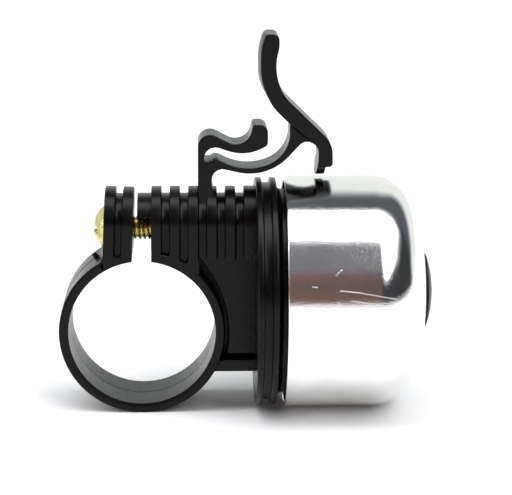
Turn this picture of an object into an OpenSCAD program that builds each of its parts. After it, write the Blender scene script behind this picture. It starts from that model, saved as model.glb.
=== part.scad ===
// Handlebar bell with a flick striker.
// The clamp bore is centred on the origin and runs along Y, the bell's own axis runs along X,
// and Z is up. Lengths are in millimetres and angles in degrees.

/* [Clamp band] */
// Diameter of the handlebar that the band closes on
bar_d = 22.2; // [20:0.1:26.6]
// Thickness of the band
band_t = 1.45; // [1.2:0.05:2.4]
// Width of the band and of the ribbed block along the handlebar
clamp_w = 11.5; // [9.5:0.1:16]
// Chamfer on the outer edges of the band
band_edge = 0.3; // [0.1:0.05:0.5]
// Width of the groove round the middle of the band
band_groove_w = 0.5; // [0.3:0.05:1]
// Depth of that groove
band_groove_d = 0.2; // [0.1:0.05:0.5]
// Gap at the lines on which the band and the spring arm flex
flex_gap = 0.04; // [0.03:0.01:0.06]
// Skin between the band's flexing line and its inner and outer surfaces
band_skin = 0.15; // [0.1:0.05:0.3]

/* [Ribbed block] */
// Height of the clamp screw above the bore wall
screw_rise = 4.05; // [3.6:0.05:6]
// Height of the block's crest above the clamp screw
crest_rise = 6.2; // [5:0.1:8]
// Radius of the two long upper edges
crest_r = 5.3; // [3:0.1:5.7]
// Distance from the centre line to the block's inner end
block_x = 1.45; // [1:0.05:3]
// Number of ribs on the block
rib_n = 6; // [4:1:8]
// Width of one rib
rib_w = 1.54; // [1:0.02:2]
// Distance from one rib to the next
rib_pitch = 2.78; // [2.4:0.02:3.6]
// Depth of the grooves between the ribs
rib_depth = 1.04; // [0.5:0.02:1.4]
// Plain length between the last rib and the back plate
root_land = 0.26; // [0.1:0.02:1]
// Height above the bore wall at which the block gives way to the web
web_rise = 0.25; // [0:0.05:1]
// How far the first groove stops short of the web
first_groove_rise = 1.1; // [0.5:0.1:2]

/* [Clamp ear] */
// Thickness of the ear along the screw
ear_t = 4.36; // [3.5:0.02:6]
// Distance from the centre line to the ear's inner face before the lean
ear_x = 1.84; // [1.5:0.02:3]
// Lean of the ear towards the block
ear_lean = 2; // [0:0.1:4]
// How far the ear's crest is below the block's
ear_drop = 0.18; // [0:0.02:1]
// Width of each of its two ribs
ear_rib_w = 1.65; // [1:0.05:2]
// Height above the bore wall at which the ear's groove ends
ear_groove_rise = 0.95; // [0.5:0.05:2]
// Radius that blends the ear into the band
ear_fillet = 1.6; // [0.8:0.1:2.5]

/* [Screw guard] */
// Length of the guard over the screw, from the block's end towards the ear
guard_l = 2.08; // [1:0.02:2.2]
// Height of its underside above the screw's axis
guard_rise = 2.45; // [2.3:0.05:3]

/* [Clamp screw and nut] */
// Diameter over the crests of the thread
screw_d = 3.84; // [2.8:0.02:4]
// Diameter at the root of the thread
screw_root_d = 3.1; // [2.2:0.02:3.4]
// Pitch of the thread
screw_pitch = 0.7; // [0.5:0.05:0.8]
// Length of the screw under its head
screw_l = 16; // [12:0.5:18]
// Diameter of the screw's domed head
head_d = 6.95; // [5.5:0.05:8]
// Height of the head
head_h = 1.85; // [1.2:0.05:2.6]
// Width of the driver slot
slot_w = 0.9; // [0.6:0.05:1.2]
// Depth of the driver slot
slot_depth = 0.8; // [0.5:0.05:1]
// Length of the short slot across it
cross_l = 4; // [3:0.1:5]
// Clearance round the screw in the ear, the block and the nut, for the ear's swing
screw_clear = 0.3; // [0.28:0.01:0.5]
// Gap between the head and its seat
head_gap = 0.02; // [0.01:0.01:0.1]
// Width of the nut across its flats
nut_af = 7; // [5.5:0.1:7.2]
// Thickness of the nut
nut_t = 3.2; // [2.4:0.1:3.6]
// Distance from the block's end to the nut
nut_inset = 4.35; // [3:0.05:6]
// Gap between the nut and its pocket
nut_gap = 0.08; // [0.05:0.01:0.2]

/* [Web] */
// Thickness of the web's sunk panel
panel_t = 8.2; // [6:0.1:9]
// Thickness of the web's bottom flange
web_flange_t = 10.2; // [9:0.1:11.4]
// Height of that flange
web_flange_h = 1.5; // [1:0.1:3]
// Level of the flange's underside below the bore's axis
web_drop = 6.3; // [4:0.1:8]
// Width of the groove round the panel
panel_groove_w = 1.2; // [0.6:0.05:1.6]
// Depth of that groove below the panel
panel_groove_d = 1.2; // [0.4:0.05:2]

/* [Back plate] */
// Width of each of the two rim flanges
flange_w = 0.97; // [0.6:0.01:1.6]
// Width of the groove between them
flange_gap = 1.2; // [0.8:0.05:2]
// Depth of the groove between them
flange_depth = 0.75; // [0.4:0.05:1.2]
// Rounding of the flanges' edges
flange_edge = 0.2; // [0.1:0.05:0.4]
// How far the flanges stand inside the dome's outer surface
flange_inset = 0.33; // [0.1:0.01:1]
// Thickness of the plate's floor
plate_t = 2; // [1.4:0.1:3]
// Wall of the neck round the plate's hollow
neck_wall = 1.5; // [1:0.1:2.5]
// Gap between the neck and the inside of the dome
neck_gap = 1.25; // [0.8:0.05:2]
// How far the neck reaches past the outer flange
neck_l = 4.2; // [2:0.1:7]
// Radius of the concave blend between the flange and the neck
neck_fillet = 0.8; // [0.3:0.05:1]
// Diameter of the centre pillar
pillar_d = 8.4; // [6.5:0.1:11]

/* [Bell dome] */
// Outer diameter of the dome
dome_d = 35.4; // [30:0.1:45]
// Wall of the dome
dome_wall = 0.8; // [0.6:0.05:1.2]
// Length from the rim to the crown
dome_l = 22; // [18:0.1:30]
// Gap between the outer flange and the rim
rim_gap = 1.15; // [0.6:0.05:2]
// Radius of the shoulder between the side and the crown
shoulder_r = 6.5; // [4:0.1:9]
// Radius of the crown
crown_r = 37; // [30:1:60]
// Diameter of the well in the crown
well_d = 9.6; // [9:0.1:11]
// Depth of the well below the crown
well_depth = 2.8; // [2.4:0.1:4]

/* [Dome fixing] */
// Diameter of the fixing screw's head
fix_head_d = 6.2; // [5:0.1:7]
// Height of that head
fix_head_h = 1.8; // [1.2:0.1:2]
// Diameter of its shank
fix_d = 2.9; // [2.4:0.1:3.5]
// Length of its shank under the washer
fix_l = 12; // [8:0.5:16]
// Outer diameter of the washer
washer_d = 8; // [7:0.1:9]
// Thickness of the washer
washer_t = 0.6; // [0.4:0.1:1]
// Diameter of the cap
cap_d = 11.5; // [11:0.1:13]
// Height of the cap's edge above the crown
cap_edge = 0.35; // [0.2:0.05:0.8]
// Height of the cap's dome above its edge
cap_rise = 1; // [0.6:0.05:2]
// Depth of the cap's skirt in the well
skirt_depth = 1.6; // [1:0.1:2.2]
// Wall of the skirt
skirt_t = 0.8; // [0.6:0.1:1.2]
// Clearance of the fixing parts in their seats
seat_gap = 0.05; // [0.02:0.01:0.1]

/* [Striker] */
// Width of the post, the stop hook and the spring arm
arm_w = 6.2; // [4:0.1:8]
// Width of the thumb lever and the hammer
lever_w = 6.9; // [4.5:0.1:9]
// Thickness of the post
post_t = 2.1; // [1.6:0.05:3]
// Least height of the spring arm above the block
arm_over_block = 2.56; // [2:0.02:5]
// Least height of the spring arm above the dome
arm_over_dome = 1.08; // [0.6:0.02:4]
// Gap between the hammer and the dome at rest
strike_gap = 0.54; // [0.3:0.02:1.2]
// Height of the hammer's tip below the hammer's foot
tip_h = 1.6; // [0.8:0.1:3]
// Radius of the tip across the hammer
tip_r = 4.5; // [3.6:0.1:8]
// Height of the thumb lever above the spring arm
lever_h = 20.85; // [18:0.05:28]
// Distance from the back plate to the post's far side
post_back = 8.67; // [7:0.05:9]
// Thickness of the post beside the notch between the hook and the arm
notch_wall = 0.92; // [0.6:0.02:1.2]
// Distance from the back plate to the hammer's inner side
hammer_x = 9.35; // [8.8:0.05:11]
// Length of the hammer along the bell
hammer_l = 2.14; // [1.8:0.02:4]

/* [Hidden] */
$fn = 96;

cut = 1; // how far a cutter runs past the surface it cuts
bar_r = bar_d / 2;
band_r = bar_r + band_t;
screw_z = bar_r + screw_rise;
block_top = screw_z + crest_rise;
web_top = bar_r + web_rise;
plate_x = block_x + (rib_n - 1) * rib_pitch + rib_w + root_land;
flange_x = plate_x + 2 * flange_w + flange_gap;
rim_x = flange_x + rim_gap;
dome_r = dome_d / 2;
bell_z = dome_r - band_r; // the band and the dome stand on one level
dome_top = bell_z + dome_r;
dome_in_r = dome_r - dome_wall;
neck_r = dome_in_r - neck_gap;
crown_x = rim_x + dome_l;
well_x = crown_x - well_depth;
pillar_x = well_x - dome_wall;
fix_hole_d = fix_d + 2 * seat_gap;
arm_z = max(block_top + arm_over_block, dome_top + arm_over_dome);
tip_z = dome_top + strike_gap;
screw_hole_d = screw_d + 2 * screw_clear;
nut_x = block_x + nut_inset;
ear_from = -ear_x - ear_t;
// The head's seat is square to the screw, at the level of the head's top on the leaning ear
seat_x = ear_from * cos(ear_lean) + (screw_z + head_d / 2) * sin(ear_lean);
screw_tip_x = seat_x - head_gap + screw_l;
rim_r = dome_r - flange_inset;
panel_r = band_r - band_edge;
panel_angle = 48; // angle above level at which the groove beside the band ends
panel_end = (panel_r + panel_groove_w / 2) * [cos(panel_angle), sin(panel_angle)];
web_flange_top = web_flange_h - web_drop;
arm_core_r = 0.3; // radius of the arm's flexing core
lift_relief = 27; // opening above that core, for the lever's lift

black_nylon = [0.09, 0.09, 0.095];
zinc_yellow = [0.72, 0.62, 0.3];
zinc_white = [0.75, 0.76, 0.78];
bright_alloy = [0.86, 0.87, 0.88];

// ---- outlines with rounded corners -------------------------------------------------------

function unit(v) = v / norm(v);
function heading(v) = atan2(v[1], v[0]);
function short_turn(a) = a > 180 ? a - 360 : a < -180 ? a + 360 : a;

// The points of a corner at b between a and c, rounded to radius r
function corner(a, b, c, r) =
    r == 0 ? [b] :
    let (
        u = unit(a - b),
        w = unit(c - b),
        half = acos(u * w) / 2,
        centre = b + unit(u + w) * r / sin(half),
        from = heading(b + u * r / tan(half) - centre),
        turn = short_turn(heading(b + w * r / tan(half) - centre) - from),
        steps = max(2, ceil(abs(turn) / 10))
    )
    [for (i = [0:steps]) centre + r * [cos(from + turn * i / steps), sin(from + turn * i / steps)]];

// A closed outline from corners [x, z, radius]
function rounded(p) = [
    for (i = [0:len(p) - 1])
        let (a = p[(i + len(p) - 1) % len(p)], b = p[i], c = p[(i + 1) % len(p)])
        each corner([a[0], a[1]], [b[0], b[1]], [c[0], c[1]], b[2])
];

// An X-Z outline made a plate of width w, centred on the X-Z plane
module plate(w) {
    rotate([90, 0, 0]) linear_extrude(w, center = true) children();
}

// A Y-Z outline run along X
module run_x(from, to) {
    translate([from, 0, 0]) rotate([90, 0, 90]) linear_extrude(to - from) children();
}

// A [radius, x] outline turned about the bell's axis
module turn_bell() {
    translate([0, 0, bell_z]) rotate([0, 90, 0]) rotate_extrude() children();
}

// A [radius, x] outline turned about the clamp screw's axis
module turn_screw() {
    translate([0, 0, screw_z]) rotate([0, 90, 0]) rotate_extrude() children();
}

// A round bar along the clamp screw's axis
module screw_bar(from, to, d) {
    translate([from, 0, screw_z]) rotate([0, 90, 0]) cylinder(h = to - from, d = d);
}

// ---- clamp band --------------------------------------------------------------------------

// The band's cross-section turned all the way round, with the bore still to be cut to size
module band_ring() {
    half = clamp_w / 2;
    rotate([90, 0, 0]) rotate_extrude() polygon([
        [bar_r - cut, -half],
        [band_r - band_edge, -half],
        [band_r, -half + band_edge],
        [band_r, -band_groove_w / 2],
        [band_r - band_groove_d, -band_groove_w / 2],
        [band_r - band_groove_d, band_groove_w / 2],
        [band_r, band_groove_w / 2],
        [band_r, half - band_edge],
        [band_r - band_edge, half],
        [bar_r - cut, half]
    ]);
}

// A wedge of the X-Z plane between two angles less than a half turn apart
module wedge(from, to) {
    reach = 3 * band_r;
    mid = (from + to) / 2;
    polygon([
        [0, 0],
        reach * [cos(from), sin(from)],
        reach * [cos(mid), sin(mid)],
        reach * [cos(to), sin(to)]
    ]);
}

// The stretch of band between two angles
module band(from, to) {
    intersection() {
        band_ring();
        plate(clamp_w + cut) wedge(from, to);
    }
}

module bar_bore() {
    rotate([90, 0, 0]) cylinder(h = clamp_w + 2 * cut, r = bar_r, center = true);
}

// A round bar along the line at the foot of the band on which the band flexes
module band_flex(r, l) {
    translate([0, 0, -bar_r - band_t / 2]) rotate([90, 0, 0]) cylinder(h = l, r = r, center = true);
}

// ---- ribbed block and ear ------------------------------------------------------------------

// Y-Z outline of a block with two round upper edges
module arch(half_w, top, r, foot) {
    translate([-half_w, foot]) square([2 * half_w, top - r - foot]);
    translate([-half_w + r, foot]) square([2 * (half_w - r), top - foot]);
    for (side = [-1, 1]) translate([side * (half_w - r), top - r]) circle(r = r);
}

// The outline at the bottom of the grooves
module groove_arch(top, foot) {
    arch(clamp_w / 2 - rib_depth, top - rib_depth, crest_r - rib_depth, foot);
}

// A block whose ribs stand between grooves, each given as [from, to, foot]
module ribbed(from, to, top, foot, grooves) {
    half_w = clamp_w / 2;
    difference() {
        run_x(from, to) arch(half_w, top, crest_r, foot);
        for (g = grooves) run_x(g[0], g[1]) difference() {
            translate([-half_w - cut, g[2]]) square([clamp_w + 2 * cut, top]);
            groove_arch(top, g[2] - cut);
        }
        for (g = grooves, side = [-1, 1]) translate([(g[0] + g[1]) / 2, side * half_w, g[2]])
            rotate([90, 0, 0]) cylinder(h = 2 * rib_depth, d = g[1] - g[0], center = true);
    }
}

// The grooves of the fixed block, the first of which stops higher
block_grooves = [
    for (i = [0:rib_n - 2]) [
        block_x + i * rib_pitch + rib_w,
        block_x + (i + 1) * rib_pitch,
        i == 0 ? web_top + first_groove_rise : web_top
    ]
];

module fixed_block() {
    ribbed(block_x, plate_x, block_top, web_top, block_grooves);
}

// The guard that covers the top of the screw between the block and the ear
module screw_guard() {
    run_x(block_x - guard_l, block_x + cut) intersection() {
        groove_arch(block_top, screw_z);
        translate([-clamp_w / 2, screw_z + guard_rise]) square([clamp_w, crest_rise]);
    }
}

// The pocket that takes the nut from the far side
module nut_pocket() {
    af = nut_af + 2 * nut_gap;
    run_x(nut_x - nut_gap, nut_x + nut_t + nut_gap) translate([0, screw_z]) {
        circle(d = af / cos(30), $fn = 6);
        translate([0, -af / 2]) square([clamp_w, af]);
    }
}

// ---- web -----------------------------------------------------------------------------------

// X-Z outline of the web between the band and the back plate
module web_outline(top, bottom) {
    difference() {
        translate([panel_end[0], bottom]) square([plate_x - panel_end[0], top - bottom]);
        circle(r = bar_r + band_t / 2);
    }
}

// The groove that runs beside the band and along the flange, round the panel
module panel_groove() {
    intersection() {
        difference() {
            circle(r = panel_r + panel_groove_w);
            circle(r = panel_r);
        }
        wedge(asin(web_flange_top / panel_r), panel_angle);
    }
    translate(panel_end) circle(d = panel_groove_w);
    difference() {
        translate([0, web_flange_top]) square([plate_x + cut, panel_groove_w]);
        circle(r = panel_r);
    }
}

module clamp_body() {
    groove_floor = panel_t / 2 - panel_groove_d;
    color(black_nylon) difference() {
        union() {
            band(-90, 0);
            band(-1, 80);
            band_flex(band_t / 2 - band_skin, clamp_w);
            fixed_block();
            run_x(block_x, panel_end[0]) arch(clamp_w / 2, web_top + cut, cut, panel_end[1]);
            screw_guard();
            plate(panel_t) web_outline(web_top + cut, -web_drop);
            plate(web_flange_t) web_outline(web_flange_top, -web_drop);
        }
        bar_bore();
        for (side = [-1, 1]) translate([0, side * (groove_floor + clamp_w / 2), 0])
            plate(clamp_w) panel_groove();
        screw_bar(block_x - guard_l - cut, screw_tip_x + cut, screw_hole_d);
        nut_pocket();
    }
}

// ---- clamp jaw: the ear and the free half of the band ----------------------------------------

// The blend that fills the corner between the ear and the band
module ear_blend() {
    blend_x = ear_from - ear_fillet;
    blend_z = sqrt(pow(band_r + ear_fillet, 2) - pow(blend_x, 2));
    plate(clamp_w) difference() {
        polygon([[ear_from + cut, blend_z], [blend_x, blend_z], [0, 0]]);
        circle(r = bar_r + band_t / 2);
        translate([blend_x, blend_z]) circle(r = ear_fillet);
    }
}

module clamp_jaw() {
    ear_groove = [ear_from + ear_rib_w, -ear_x - ear_rib_w, bar_r + ear_groove_rise];
    color(black_nylon) difference() {
        union() {
            band(110, 190);
            band(180, 270);
            rotate([0, ear_lean, 0]) {
                ribbed(ear_from, -ear_x, block_top - ear_drop, 0, [ear_groove]);
                ear_blend();
            }
        }
        bar_bore();
        band_flex(band_t / 2 - band_skin + flex_gap, clamp_w + cut);
        translate([-flex_gap, -clamp_w, -2 * band_r])
            cube([band_r, 2 * clamp_w, 2 * band_r - bar_r / 2]);
        screw_bar(ear_from - ear_t, 0, screw_hole_d);
        screw_bar(ear_from - ear_t, seat_x, head_d + 2 * screw_clear);
    }
}

// ---- clamp screw and nut -------------------------------------------------------------------

module clamp_screw() {
    head_x = seat_x - head_gap;
    top_x = head_x - head_h;
    head_r = head_d / 2;
    ball_r = (pow(head_r, 2) + pow(head_h, 2)) / (2 * head_h);
    root_r = screw_root_d / 2;
    crest_half = screw_pitch / 16;
    ridge = [
        [root_r, 0],
        [screw_d / 2, screw_pitch / 2 - crest_half],
        [screw_d / 2, screw_pitch / 2 + crest_half]
    ];
    color(zinc_yellow) difference() {
        union() {
            turn_screw() polygon([
                [0, head_x - cut / 2],
                [root_r, head_x - cut / 2],
                for (i = [0:floor(screw_l / screw_pitch) - 1], p = ridge)
                    [p[0], head_x + i * screw_pitch + p[1]],
                [root_r, screw_tip_x],
                [0, screw_tip_x]
            ]);
            turn_screw() intersection() {
                translate([0, top_x]) square([head_r, head_h]);
                translate([0, top_x + ball_r]) circle(r = ball_r);
            }
        }
        for (l = [[head_d, slot_w], [slot_w, cross_l]])
            translate([top_x + slot_depth / 2 - cut / 2, 0, screw_z])
                cube([slot_depth + cut, l[0], l[1]], center = true);
    }
}

module clamp_nut() {
    color(zinc_white) difference() {
        run_x(nut_x, nut_x + nut_t) translate([0, screw_z]) circle(d = nut_af / cos(30), $fn = 6);
        screw_bar(nut_x - cut, nut_x + nut_t + cut, screw_hole_d);
    }
}

// ---- back plate ----------------------------------------------------------------------------

// [radius, x] outline of one rim flange that starts at x
module flange(x) {
    polygon(rounded([
        [rim_r, x, flange_edge],
        [rim_r, x + flange_w, flange_edge],
        [neck_r - neck_wall, x + flange_w, 0],
        [neck_r - neck_wall, x, 0]
    ]));
}

module back_plate() {
    color(black_nylon) turn_bell() difference() {
        union() {
            translate([0, plate_x]) square([rim_r - flange_depth, flange_x - plate_x]);
            flange(plate_x);
            flange(flange_x - flange_w);
            translate([0, plate_x]) square([neck_r, flange_x + neck_l - plate_x]);
            difference() {
                translate([neck_r - cut, flange_x - cut / 2])
                    square([cut + neck_fillet, cut / 2 + neck_fillet]);
                translate([neck_r + neck_fillet, flange_x + neck_fillet]) circle(r = neck_fillet);
            }
            translate([0, plate_x]) square([pillar_d / 2, pillar_x - plate_x]);
        }
        translate([pillar_d / 2, plate_x + plate_t])
            square([neck_r - neck_wall - pillar_d / 2, dome_l]);
        translate([0, well_x + washer_t - fix_l - cut]) square([fix_hole_d / 2, fix_l + cut]);
    }
}

// ---- striker -------------------------------------------------------------------------------

// Corners of the striker, [x from the back plate, z above the arm, radius], in turn: the post,
// the stop hook, the notch, the arm's upper side, the thumb lever, the hammer and the underside
post_l = -post_back;
post_r = post_l + post_t;
foot_z = tip_z + tip_h - arm_z;
hammer_r = hammer_x + hammer_l;
post_foot = block_top - crest_rise / 2 - arm_z;

hook_corners = [
    [post_l, post_foot, 0],
    [post_l, 7.05, 1.84],
    [-1.4, 3.38, 2.36],
    [-0.44, 7.38, 0.5],
    [1.8, 7.38, 1.2],
    [1.8, 4.25, 0.75],
    [-1.57, 2.55, 6.5],
    [post_l + notch_wall, 4.62, 1.72],
    [post_l + notch_wall, 1.78, 0.3]
];

arm_top_corners = [
    [post_r - 0.25, 1.8, 0.6],
    [post_r + 0.52, 2.29, 1],
    [-1.26, 0.07, 7.8],
    [5.07, 2.73, 5.1]
];

lever_corners = [
    [5.05, 7.53, 0.5],
    [2.38, 10.1, 7],
    [0.72, 13.91, 9],
    [0.72, lever_h - 2.15, 8],
    [1.47, lever_h + 0.08, 0.7],
    [3.4, lever_h, 0.9],
    [3.42, lever_h - 1.95, 4],
    [2.7, 15.98, 8],
    [3.85, 11.98, 6],
    [hammer_r, 4.58, 4]
];

hammer_corners = [
    [hammer_r, foot_z, 0.5],
    [hammer_x + 1.05, foot_z, 0.15],
    [hammer_x + 0.9, tip_z - arm_z, 0.15],
    [hammer_x - 0.4, tip_z - arm_z, 0.15],
    [hammer_x, foot_z + 1, 1]
];

underside_corners = [
    [hammer_x, 7.42, 1.65],
    [1.86, -0.82, 7.94],
    [post_r, 1.04, 1.6],
    [post_r, -2, 1.2],
    [post_r + 0.7, -4, 0],
    [post_r + 0.7, post_foot, 0]
];

striker_outline = rounded(concat(
    hook_corners, arm_top_corners, lever_corners, hammer_corners, underside_corners
));

// The arm's flexing line, where the arm is thinnest
arm_flex = [-0.9, 0.4];

// The stop hook's reach over the arm, between the arm and the lever
hook_low = 2.95;
hook_high = 7.6;
hook_reach = 2.5;

// Where the wider lever takes over from the arm
lever_zone = [
    [-post_back, hook_high + 0.2],
    [4.7, hook_high + 0.2],
    [8.2, 5],
    [8.2, -arm_z],
    [2 * hammer_r, -arm_z],
    [2 * hammer_r, 2 * lever_h],
    [-post_back, 2 * lever_h]
];

// The side of the arm's flexing line that stays with the post, the hook included
module fixed_side() {
    translate([-2 * post_back, post_foot]) square([2 * post_back + arm_flex[0], lever_h]);
    translate([arm_flex[0], hook_low]) square([hook_reach - arm_flex[0], hook_high - hook_low]);
    translate(arm_flex) circle(r = arm_core_r);
}

// The side that moves with the lever, relieved above the flexing line for the lever's lift
module moving_side() {
    difference() {
        translate([arm_flex[0] + flex_gap, -arm_z]) square([2 * hammer_r, arm_z + 2 * lever_h]);
        translate([arm_flex[0], hook_low]) square([hook_reach - arm_flex[0], hook_high - hook_low]);
        translate(arm_flex) {
            polygon([
                [0, 0],
                [flex_gap, 0],
                [flex_gap + sin(lift_relief), cos(lift_relief)],
                [0, cos(lift_relief)]
            ]);
            circle(r = arm_core_r + flex_gap);
        }
    }
}

// What is cut from the sides of the hammer's tip to leave it round across its width
module tip_sides() {
    run_x(hammer_x - cut, hammer_r) translate([0, tip_z - arm_z]) difference() {
        translate([-lever_w, -cut]) square([2 * lever_w, tip_h + cut]);
        translate([0, tip_r]) circle(r = tip_r);
    }
}

module striker_post() {
    color(black_nylon) difference() {
        translate([plate_x, 0, arm_z]) plate(arm_w) intersection() {
            polygon(striker_outline);
            fixed_side();
        }
        fixed_block();
    }
}

module striker_lever() {
    color(black_nylon) translate([plate_x, 0, arm_z]) difference() {
        union() {
            plate(arm_w) intersection() {
                polygon(striker_outline);
                moving_side();
            }
            plate(lever_w) intersection() {
                polygon(striker_outline);
                polygon(lever_zone);
            }
        }
        tip_sides();
    }
}

// ---- bell dome -----------------------------------------------------------------------------

// [radius, x] outline filled up to the dome's surface, sunk by t, from x = from
module dome_fill(t, from) {
    r = dome_r - t;
    shoulder = shoulder_r - t;
    crown = crown_r - t;
    shoulder_x = crown_x - crown_r + sqrt(pow(crown - shoulder, 2) - pow(r - shoulder, 2));
    blend = crown * (r - shoulder) / (crown - shoulder);
    translate([0, from]) square([r, shoulder_x - from]);
    translate([r - shoulder, shoulder_x]) circle(r = shoulder);
    intersection() {
        translate([0, crown_x - crown_r]) circle(r = crown);
        translate([0, from]) square([blend, crown_x - from]);
    }
}

module bell_dome() {
    color(bright_alloy) turn_bell() difference() {
        dome_fill(0, rim_x);
        difference() {
            dome_fill(dome_wall, rim_x - cut);
            translate([0, pillar_x]) square([well_d / 2 + dome_wall, dome_l]);
        }
        translate([0, well_x]) square([well_d / 2, dome_l]);
        square([fix_hole_d / 2, crown_x]);
    }
}

// ---- dome fixing ---------------------------------------------------------------------------

module dome_washer() {
    color(zinc_white) turn_bell() translate([fix_hole_d / 2, well_x])
        square([(washer_d - fix_hole_d) / 2, washer_t]);
}

module dome_screw() {
    under_x = well_x + washer_t;
    head_r = fix_head_d / 2;
    ball_r = (pow(head_r, 2) + pow(fix_head_h, 2)) / (2 * fix_head_h);
    color(zinc_white) difference() {
        turn_bell() {
            intersection() {
                translate([0, under_x]) square([head_r, fix_head_h]);
                translate([0, under_x + fix_head_h - ball_r]) circle(r = ball_r);
            }
            translate([0, under_x - fix_l]) square([fix_d / 2, fix_l + fix_head_h / 2]);
        }
        for (l = [[fix_d, slot_w], [slot_w, fix_d]])
            translate([under_x + fix_head_h, 0, bell_z])
                cube([2 * slot_depth, l[0], l[1]], center = true);
    }
}

module dome_cap() {
    cap_r = cap_d / 2;
    skirt_r = well_d / 2 - seat_gap;
    edge_x = crown_x - crown_r + sqrt(pow(crown_r, 2) - pow(cap_r, 2)) + cap_edge;
    ball_r = (pow(cap_r, 2) + pow(cap_rise, 2)) / (2 * cap_rise);
    color(black_nylon) turn_bell() {
        difference() {
            union() {
                translate([0, well_x]) square([cap_r, edge_x - well_x]);
                intersection() {
                    translate([0, edge_x + cap_rise - ball_r]) circle(r = ball_r);
                    translate([0, edge_x - cap_edge]) square([cap_r, cap_rise + cap_edge]);
                }
            }
            dome_fill(0, rim_x);
            square([skirt_r - skirt_t, edge_x]);
        }
        translate([skirt_r - skirt_t, crown_x - skirt_depth])
            square([skirt_t, edge_x - crown_x + skirt_depth]);
    }
}

// ---- assembly ------------------------------------------------------------------------------

clamp_body();
clamp_jaw();
clamp_screw();
clamp_nut();
back_plate();
striker_post();
striker_lever();
bell_dome();
dome_washer();
dome_screw();
dome_cap();
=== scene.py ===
import math

import bpy
from mathutils import Matrix, Vector


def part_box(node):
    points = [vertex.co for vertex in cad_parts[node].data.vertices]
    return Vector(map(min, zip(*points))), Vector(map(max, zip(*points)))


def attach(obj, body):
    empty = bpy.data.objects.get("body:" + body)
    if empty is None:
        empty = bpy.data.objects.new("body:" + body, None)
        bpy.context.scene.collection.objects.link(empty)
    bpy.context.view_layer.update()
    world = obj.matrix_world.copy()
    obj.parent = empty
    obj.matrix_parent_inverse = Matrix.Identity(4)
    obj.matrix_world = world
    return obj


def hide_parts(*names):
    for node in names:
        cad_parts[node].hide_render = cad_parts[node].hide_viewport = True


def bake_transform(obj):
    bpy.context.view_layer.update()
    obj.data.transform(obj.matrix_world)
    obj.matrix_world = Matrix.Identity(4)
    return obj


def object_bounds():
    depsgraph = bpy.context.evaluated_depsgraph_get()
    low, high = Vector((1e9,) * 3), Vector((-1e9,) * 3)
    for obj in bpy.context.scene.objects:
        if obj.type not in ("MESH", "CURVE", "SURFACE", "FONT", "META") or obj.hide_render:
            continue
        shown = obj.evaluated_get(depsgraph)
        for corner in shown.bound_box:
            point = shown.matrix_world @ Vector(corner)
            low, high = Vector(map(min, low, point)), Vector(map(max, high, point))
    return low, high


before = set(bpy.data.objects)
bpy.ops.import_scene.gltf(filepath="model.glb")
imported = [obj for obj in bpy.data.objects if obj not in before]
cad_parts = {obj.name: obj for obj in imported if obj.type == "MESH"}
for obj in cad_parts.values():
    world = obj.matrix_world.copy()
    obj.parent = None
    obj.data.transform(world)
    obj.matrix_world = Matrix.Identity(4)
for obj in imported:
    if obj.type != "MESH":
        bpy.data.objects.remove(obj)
cadLow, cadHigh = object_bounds()
mm = 0.001  # the settings below are in millimetres and degrees
finestGap, wideGap = 1e-6, 2e-6  # in metres, the gaps that count as none when seams are welded
past = 1  # how far cutters run past what they cut
flush = 0.005  # keeps a face from lying in the same plane as another

# modelling steps that every piece uses


def pick(piece):  # make this the one selected and active object
    bpy.ops.object.select_all(action="DESELECT")
    piece.select_set(True)
    bpy.context.view_layer.objects.active = piece


def edit(piece):  # edit mode with everything selected
    pick(piece)
    bpy.ops.object.mode_set(mode="EDIT")
    bpy.ops.mesh.select_all(action="SELECT")


def closeUp(piece, gap=finestGap):  # weld the seams, point the faces out, back to object mode
    bpy.ops.mesh.select_all(action="SELECT")
    bpy.ops.mesh.remove_doubles(threshold=gap)
    bpy.ops.mesh.normals_make_consistent(inside=False)
    bpy.ops.object.mode_set(mode="OBJECT")
    return piece


def closeDoubles(piece):  # the same, for a piece that a modifier has just cut
    edit(piece)
    return closeUp(piece, wideGap)


def drawLine(name, points):  # edges drawn point by point, left in edit mode
    bpy.ops.object.select_all(action="DESELECT")
    bpy.ops.mesh.primitive_plane_add(size=mm)
    line = bpy.context.active_object
    line.name = line.data.name = name
    bpy.ops.object.mode_set(mode="EDIT")
    bpy.ops.mesh.merge(type="CENTER")
    bpy.ops.transform.translate(value=Vector(points[0]) * mm)
    for a, b in zip(points, points[1:]):
        step = (Vector(b) - Vector(a)) * mm
        bpy.ops.mesh.extrude_vertices_move(TRANSFORM_OT_translate={"value": step})
    bpy.ops.mesh.select_all(action="SELECT")
    return line


def extrude(step):
    bpy.ops.mesh.extrude_region_move(TRANSFORM_OT_translate={"value": Vector(step) * mm})


def plate(name, outline, lowY, highY):  # an x, z outline given a thickness along y
    piece = drawLine(name, [(x, lowY, z) for x, z in outline])
    bpy.ops.mesh.edge_face_add()
    extrude((0, highY - lowY, 0))
    return closeUp(piece)


def bar(name, outline, lowX, highX):  # a y, z outline run along x
    piece = drawLine(name, [(lowX, y, z) for y, z in outline])
    bpy.ops.mesh.edge_face_add()
    extrude((highX - lowX, 0, 0))
    return closeUp(piece)


def turn(name, profile, axisZ, steps):  # an x, radius profile turned about a line along x
    piece = drawLine(name, [(x, 0, axisZ + r) for x, r in profile])
    bpy.ops.mesh.spin(steps=steps, angle=math.tau, center=(0, 0, axisZ * mm), axis=(1, 0, 0))
    return closeUp(piece)


def joinUp(pieces):  # several meshes made one, without cutting them
    pick(pieces[0])
    for piece in pieces[1:]:
        piece.select_set(True)
    bpy.ops.object.join()
    return pieces[0]


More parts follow.
